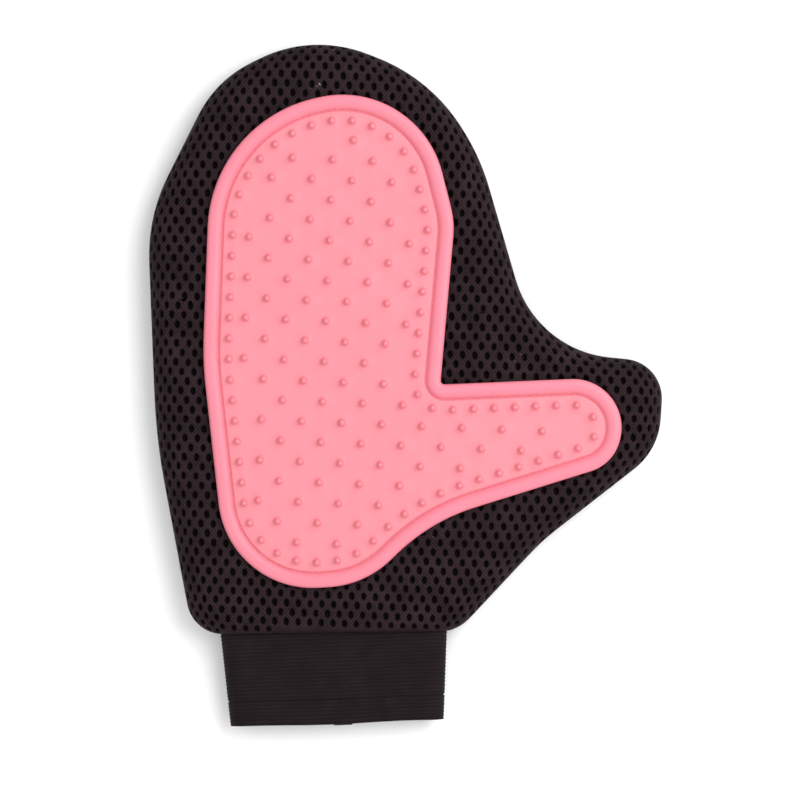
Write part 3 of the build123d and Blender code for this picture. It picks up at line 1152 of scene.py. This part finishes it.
def foldNubs(found):
    # the solids leave nubs out where they are cut at a fold; soft rubber has them there too
    track = resample(padRing + ringNormals(padRing) * pad["edgeInset"], 0.5 * mm)
    step = np.linalg.norm(np.roll(track, -1, 0) - track, axis=1)
    place = np.cumsum(step) - step[0]
    near = np.abs(ringField(found, padRing)[0] - pad["edgeInset"]) < 0.5 * mm
    stops = np.sort(ringValue(place, ringField(found, track)[2][near]))
    every = list(found)
    for a, b in zip(stops, np.append(stops[1:], stops[0] + step.sum())):
        count = int(round((b - a) / pad["edgePitch"]))
        for k in range(1, count):
            s = (a + (b - a) * k / count) % step.sum()
            every.append(np.array([np.interp(s, place, track[:, j]) for j in (0, 1)]))
    rows = foldPlace(found[~near], fingerFold, fingerWay)
    across = foldPlace(found[~near], fingerFold, acrossWay)
    base = rows[np.argmin(np.abs(rows - pad["rowFrom"]))]
    first = across[np.argmin(np.abs(rows - base) + np.abs(across) * 0.01)]
    for k in range(-20, 12):
        for i in range(-8, 9):
            u = first + (i + 0.5 * (k % 2)) * pad["column"]
            spot = fingerFold + u * acrossWay + (base + k * pad["row"]) * fingerWay
            onFold = min(abs((spot - thumbFold) @ thumbWay), abs((spot - fingerFold) @ fingerWay))
            if onFold > pad["foldClear"] or np.hypot(*(np.array(every) - spot).T).min() < pad["apart"]:
                continue
            if ringField(spot[None], padRing)[0][0] > pad["edgeInset"]:
                every.append(spot)
    return np.array(every)


def padCutLevel():
    # the widest clear way between nubs, below the bend
    along = foldPlace(nubs, fingerFold, fingerWay)
    options = np.arange(*pad["cutRange"], 0.05) * mm
    clear = [np.abs(along - level).min() for level in options]
    return options[int(np.argmax(clear))]


nubs = foldNubs(solidNubs)
padLevel = padCutLevel()
print("nubs with those on the folds:", len(nubs))


def padUnderside(ring, picked, ringIds, offset):
    points = PointList()
    ids = points.add(ring)
    lineIds = points.add(cutPoints(ring[picked[0]], ring[picked[1]], padLevel, 0, 4.4 * mm))
    grid = gridPoints(padGrid, 5.0)
    free = points.add(grid[(ringField(grid, ring)[0] > 2.5 * mm)
                           & (np.abs(overCut(grid, padLevel, 0)) > 1.5 * mm)])
    flat, tris, middles = fillPoints(points, ids, [], [picked[0]] + lineIds + [picked[1]], free)
    more = flat[len(ring):]
    toWhole = ringIds + list(range(offset, offset + len(more)))
    faces = [tuple(toWhole[i] for i in t[::-1]) for t in tris]
    return more, faces, list(overCut(middles, padLevel, 0) > 0)


def makePad():
    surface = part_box("hand_rubber_pad")[0].z
    rings = [padRing + ringNormals(padRing) * into * mm for into, _ in pad["rim"]]
    picked = pinToCut(rings, padLevel, 0, shared=True)[0]
    piece = nubPiece("nub")
    nubCo, nubFaces, loops, loopOf = spreadCopies(
        nubs, piece, pad["nubSides"], pad["nubTurn"], pad["unevenness"], 5, softRubber)
    nubUpper = np.repeat(overCut(nubs, padLevel, 0) > 0, len(piece.data.polygons))
    drop(piece)

    # the field between the nubs
    points = PointList()
    points.add(nubCo[:, :2])
    ids = [points.add(ring) for ring in rings]
    left, right = picked
    lineIds = points.add(cutPoints(rings[-1][left], rings[-1][right], padLevel, 0, 2.2 * mm))
    grid = gridPoints(padGrid, 4.0)
    grid = grid[ringField(grid, rings[-1])[0] > 1.5 * mm]
    gap = np.sqrt(((grid[:, None] - nubs[None]) ** 2).sum(2)).min(1)
    free = points.add(grid[(gap > pad["nubClear"]) & (np.abs(overCut(grid, padLevel, 0)) > 1.5 * mm)])
    line = [ids[-1][left]] + lineIds + [ids[-1][right]]
    flat, tris, middles = fillPoints(points, ids[-1], loops, line, free, loopOf)
    faces = [tuple(t) for t in tris] + nubFaces
    upper = list(overCut(middles, padLevel, 0) > 0) + list(nubUpper)
    for k, ring in enumerate(rings[:-1]):
        faces += ringQuads(ids[k], ids[k + 1])
        upper += list(overCut((ring + np.roll(ring, -1, 0)) / 2, padLevel, 0) > 0)
    under, underFaces, underUpper = padUnderside(rings[0], picked, ids[0], len(flat))

    height = np.full(len(flat), pad["rim"][-1][1] * mm)
    height[:len(nubCo)] += nubCo[:, 2]
    for ringIds, (_, tall) in zip(ids, pad["rim"]):
        height[ringIds] = tall * mm
    into = ringField(flat, padRing)[0]
    calm = np.clip((into - pad["rippleStart"]) / pad["rippleReach"], 0, 1)
    height += calm * ripple(flat, pad["fieldRipple"])
    low = np.full(len(under), surface + pad["rim"][0][1] * mm)
    verts = np.vstack([np.column_stack([flat, surface + height]), np.column_stack([under, low])])

    # painted shade: darker in the stitch groove and round the pad's foot where it meets the mesh, none on the
    # nubs
    groove = np.exp(-((into - pad["stitchInset"]) / pad["grooveHalf"]) ** 2)
    skirt = np.clip((pad["skirt"] - into) / pad["skirt"], 0, 1)
    shade = np.clip(groove * 0.75 + skirt * 0.4, 0, 1)
    shade[:len(nubCo)] = 0
    rim = np.clip((pad["rimWidth"] - into) / (0.5 * mm), 0, 1)
    ones = np.ones(len(under))
    values = {"shadeEdge": np.concatenate([shade, ones]), "rimShare": np.concatenate([rim, ones])}
    return verts, faces + underFaces, upper + underUpper, values


padPair = cutPieces(("finger_pad_piece", "palm_pad_piece"), *makePad())
settle(padPair, "rubber_pad", softRubber)
print("rubber pad made")

yarn = {
    "stops": [-1, -0.82, -0.45, 0, 0.45, 0.82, 1],
    "sides": 6,
}


def tubeFaces(rows, sides, closed):
    # walls between rows of points; a closed tube runs back to its first row, another has end caps
    faces = []
    for k in range(rows if closed else rows - 1):
        n = (k + 1) % rows
        for j in range(sides):
            m = (j + 1) % sides
            faces.append((k * sides + j, n * sides + j, n * sides + m, k * sides + m))
    if not closed:
        last = rows * sides - 1
        faces += [tuple(range(sides)), tuple(range(last, last - sides, -1))]
    return faces


def stitchPiece(name, length, radius, arch):
    # a short yarn that rises in the middle and dives at both ends
    verts, diveShade = [], []
    for s in yarn["stops"]:
        lift = arch * (1 - s * s) - radius * 0.9 * s ** 6
        size = radius * (1 - 0.45 * abs(s) ** 3)
        for j in range(yarn["sides"]):
            angle = j * math.tau / yarn["sides"]
            verts.append((s * length / 2, math.cos(angle) * size, math.sin(angle) * size + lift))
            # painted shade: none over the middle, rising from 0.6 of the half-length to full at each end
            diveShade.append(max(0, (abs(s) - 0.6) / 0.4))
    faces = [f[::-1] for f in tubeFaces(len(yarn["stops"]), yarn["sides"], False)]
    return yarnMesh(name, verts, faces, diveShade)


def yarnMesh(name, verts, faces, diveShade):
    obj = linkMesh(name, verts, faces)
    obj.data.shade_smooth()
    addValues(obj.data, "diveShade", diveShade)
    return obj


def diveValues(mesh):
    values = np.zeros(len(mesh.vertices))
    mesh.attributes["diveShade"].data.foreach_get("value", values)
    return values


def runStitches(path, closed, spec, material):
    # stitches along a path of points, as one mesh
    edges = [(i, i + 1) for i in range(len(path) - 1)]
    if closed:
        edges.append((len(path) - 1, 0))
    mesh = bpy.data.meshes.new("path")
    mesh.from_pydata([tuple(p) for p in path], edges, [])
    rail = bpy.data.objects.new("path", mesh)
    scene.collection.objects.link(rail)
    piece = stitchPiece("stitch", spec["length"], spec["radius"], spec["arch"])
    made = grow(rail, stitches, Stitch=piece, Pitch=spec["pitch"], Lean=spec["lean"],
                Seed=spec["seed"], Material=material)
    drop(rail, piece)
    return made


def splitStitches(names, mesh, level):
    # whole stitches go to one side of the cut
    co, diveShade = meshArray(mesh), diveValues(mesh)
    per = len(yarn["stops"]) * yarn["sides"]
    polygons = [tuple(p.vertices) for p in mesh.polygons]
    over = overCut(co.reshape(-1, per, 3).mean(1)[:, :2], level, 0) > 0
    made = []
    for name, wanted in zip(names, (True, False)):
        own = [f for f in polygons if over[f[0] // per] == wanted]
        used, faces = ownFaces(own)
        made.append(yarnMesh(name, co[used], faces, diveShade[used]))
    return made


threads = {
    "pad_needle_thread": {
        "ring": padRing, "inset": pad["stitchInset"], "rise": 0.16 * mm, "pitch": pad["stitchPitch"],
        "length": 2.15 * mm, "radius": 0.16 * mm, "arch": 0.1 * mm, "lean": 0.08, "seed": 4,
        "material": pinkYarn, "slot": "pink_thread",
    },
    "pad_bobbin_thread": {
        "ring": padRing, "inset": pad["stitchInset"], "rise": 0.0, "pitch": pad["stitchPitch"],
        "length": 2.5 * mm, "radius": 0.18 * mm, "arch": 0.0, "lean": 0.08, "seed": 6,
        "material": pinkYarn, "slot": "pink_thread",
    },
    "side_seam_thread": {
        "ring": mittRing, "inset": 7.4 * mm, "rise": 0.0, "pitch": 2.6 * mm,
        "length": 2.5 * mm, "radius": 0.3 * mm, "arch": 0.1 * mm, "lean": 0.1, "seed": 9,
        "material": blackYarn, "slot": "black_thread",
    },
}
for kind, spec in threads.items():
    low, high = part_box("hand_" + kind)
    path = spec["ring"] + ringNormals(spec["ring"]) * spec["inset"]
    closed = kind != "side_seam_thread"
    if not closed:  # the mouth has no side seam
        inMouth = mouthHalf(spec["ring"]) > 0
        first = int(np.flatnonzero(inMouth & ~np.roll(inMouth, -1))[0]) + 1
        path = np.roll(path, -first, 0)[:int((~inMouth).sum())]
    height = (low.z + high.z) / 2 + spec["rise"]
    mesh = runStitches([(*p, height) for p in path], closed, spec, spec["material"])
    pair = splitStitches(("finger_" + kind + "_piece", "palm_" + kind + "_piece"), mesh, padLevel)
    settle(pair, kind, spec["material"])
print("threads made")


def cuffAxes(along):
    turn = cuff["turn"]
    middle = np.array([cuff["middle"] + along * math.sin(turn), cuff["start"] - along * math.cos(turn),
                       cuff["centre"] - max(along, 0) * cuff["droop"] / cuff["length"]])
    return middle, np.array([math.cos(turn), math.sin(turn), 0.0]), np.array([0, 0, 1.0])


def slotSection(width, height, count):
    # even points round a flat band with half-round ends
    radius = height / 2
    straight = width - height
    half = math.pi * radius
    points = []
    for k in range(count):
        s = k * 2 * (straight + half) / count
        if s < straight:
            points.append((-straight / 2 + s, -radius))
        elif s < straight + half:
            angle = (s - straight) / radius - math.pi / 2
            points.append((straight / 2 + math.cos(angle) * radius, math.sin(angle) * radius))
        elif s < 2 * straight + half:
            points.append((straight / 2 - (s - straight - half), radius))
        else:
            angle = (s - 2 * straight - half) / radius + math.pi / 2
            points.append((-straight / 2 + math.cos(angle) * radius, math.sin(angle) * radius))
    return np.array(points)


def makeCuff():
    # outer and inner wall of the tube, a little uneven towards its free end
    count = cuff["sides"]
    step = cuff["ribPitch"] / 4
    stops = np.arange(-cuff["inside"], cuff["length"] + step / 2, step)
    stops = stops + (cuff["length"] - stops[-1])
    out = np.array([math.sin(cuff["turn"]), -math.cos(cuff["turn"]), 0])
    rows, along = [], []
    for wall, places in ((0.0, stops), (cuff["wall"], stops[::-1])):
        for d in places:
            share = max(d, 0) / cuff["length"]
            width = cuff["width"] + (cuff["endWidth"] - cuff["width"]) * share - 2 * wall
            middle, across, up = cuffAxes(d)
            section = slotSection(width, cuff["height"] - 2 * wall, count)
            x = section[:, 0] / mm
            loose = share * (0.28 * mm * np.sin(x * 0.16 + 0.8) + 0.12 * mm * np.sin(x * 0.41))
            edge = share ** 3 * 0.25 * mm * np.sin(x * 0.11 + 2.0)
            rows.append(middle + section[:, :1] * across + (section[:, 1] + loose)[:, None] * up
                        + edge[:, None] * out)
            along += [d] * count
    verts = np.vstack(rows)
    local = (verts[:, 0] - cuff["middle"]) / mm
    onTop = verts[:, 2] > cuff["centre"] - 2 * mm
    shareLine = np.clip(1 - np.abs(local + 3.5) / 19, 0, 1) ** 0.5 * onTop
    return verts, tubeFaces(len(rows), count, True), np.array(along), shareLine


def makeTab():
    # the closing seam's end: a narrow strip inside the tube that shows past its edge
    stops = np.linspace(-cuff["inside"] + mm, cuff["length"] + cuff["tabReach"], cuff["tabRows"])
    floor = -cuff["height"] / 2 + cuff["wall"] + 0.02 * mm
    verts, along = [], []
    for d in stops:
        middle, across, up = cuffAxes(d)
        rest = max(0.0, d - (cuff["length"] + cuff["tabReach"] - cuff["tabRound"])) / cuff["tabRound"]
        w = cuff["tabWidth"] / 2 - 0.7 * mm * rest ** 2
        t = cuff["tabThickness"] * (1 - 0.25 * rest ** 2)
        section = [(-w, 0.12 * mm), (-w * 0.93, 0.0), (0, 0.0), (w * 0.93, 0.0), (w, 0.12 * mm),
                   (w, t - 0.2 * mm), (w * 0.9, t), (0, t + 0.08 * mm), (-w * 0.9, t), (-w, t - 0.2 * mm)]
        verts += [middle + (cuff["tabPlace"] + x) * across + (floor + y) * up for x, y in section]
        along += [d] * len(section)
    return np.array(verts), tubeFaces(len(stops), len(section), False), np.array(along), np.zeros(len(along))


def pointOut(obj):
    bm = bmesh.new()
    bm.from_mesh(obj.data)
    bmesh.ops.recalc_face_normals(bm, faces=bm.faces)
    if bm.calc_volume(signed=True) < 0:
        bmesh.ops.reverse_faces(bm, faces=bm.faces)
    bm.to_mesh(obj.data)
    bm.free()


def ribbedPiece(name, height, verts, faces, along, lineShare):
    rough = linkMesh("rough", verts, faces)
    pointOut(rough)
    addValues(rough.data, "along", along)
    addValues(rough.data, "lineShare", lineShare)
    mesh = grow(rough, ribs, Rib_pitch=cuff["ribPitch"], Rib_height=height, Line_place=cuff["linePlace"],
                Line_depth=cuff["lineDepth"] if lineShare.any() else 0.0, Material=ribbedElastic)
    drop(rough)
    mesh.name = name
    mesh.shade_smooth()
    obj = bpy.data.objects.new(name, mesh)
    scene.collection.objects.link(obj)
    return obj


band = ribbedPiece("cuff_band_piece", cuff["ribHeight"] / 2, *makeCuff())
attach(band, "hand")
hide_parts("cuff_band")
tab = ribbedPiece("cuff_tab_piece", cuff["ribHeight"] / 3, *makeTab())
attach(tab, "hand")

closing = {"pitch": 2.6 * mm, "length": 2.3 * mm, "radius": 0.2 * mm, "arch": 0.12 * mm, "lean": 0.06,
           "seed": 12, "rowOffset": 2.3 * mm, "margins": (2 * mm, 1.2 * mm), "points": 24}
overlock = {"pitch": 2.4 * mm, "length": 2.6 * mm, "radius": 0.3 * mm, "arch": 0.15 * mm, "lean": 0.5,
            "seed": 15, "clear": 0.5 * mm, "points": 120}


def closingRow(offset):
    # one row of stitches along the closing seam
    row = []
    first, last = closing["margins"]
    top = -cuff["height"] / 2 + cuff["wall"] + cuff["tabThickness"] + 0.1 * mm
    for d in np.linspace(-cuff["inside"] + first, cuff["length"] - last, closing["points"]):
        middle, across, up = cuffAxes(d)
        row.append(middle + (cuff["tabPlace"] + offset) * across + top * up)
    return runStitches(row, False, closing, blackYarn)


def overlockRound():
    # stitches all round the cuff's inner end
    middle, across, up = cuffAxes(-cuff["inside"])
    clear = overlock["clear"]
    section = slotSection(cuff["width"] + clear, cuff["height"] + clear, overlock["points"])
    path = middle + section[:, :1] * across + section[:, 1:] * up
    return runStitches(path, True, overlock, blackYarn)


def joinMeshes(name, meshes, material):
    verts, faces, diveShade = [], [], []
    for mesh in meshes:
        base = len(verts)
        verts += [tuple(v.co) for v in mesh.vertices]
        faces += [[base + i for i in p.vertices] for p in mesh.polygons]
        diveShade += list(diveValues(mesh))
    obj = yarnMesh(name, verts, faces, diveShade)
    obj.data.materials.append(material)
    return obj


closingRows = [closingRow(offset) for offset in (-closing["rowOffset"], closing["rowOffset"])]
for name, meshes, node in (("cuff_closing_stitches", closingRows, "cuff_closing_thread"),
                           ("cuff_overlock_stitches", [overlockRound()], "cuff_overlock_thread")):
    obj = joinMeshes(name, meshes, blackYarn)
    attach(obj, "hand")
    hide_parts(node)
print("cuff made")


def floorMaterial():
    material = bpy.data.materials.new("paleFloor")
    material.use_nodes = True
    shader = material.node_tree.nodes["Principled BSDF"]
    shader.inputs["Base Color"].default_value = (*stage["floor"], 1)
    shader.inputs["Roughness"].default_value = 0.9
    return material


half, down = stage["floorHalf"], -0.1 * mm
corners = [(-half, -half, down), (half, -half, down), (half, half, down), (-half, half, down)]
floor = linkMesh("floor", corners, [(0, 1, 2, 3)])
floor.data.materials.append(floorMaterial())
floor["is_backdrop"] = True

low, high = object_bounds()
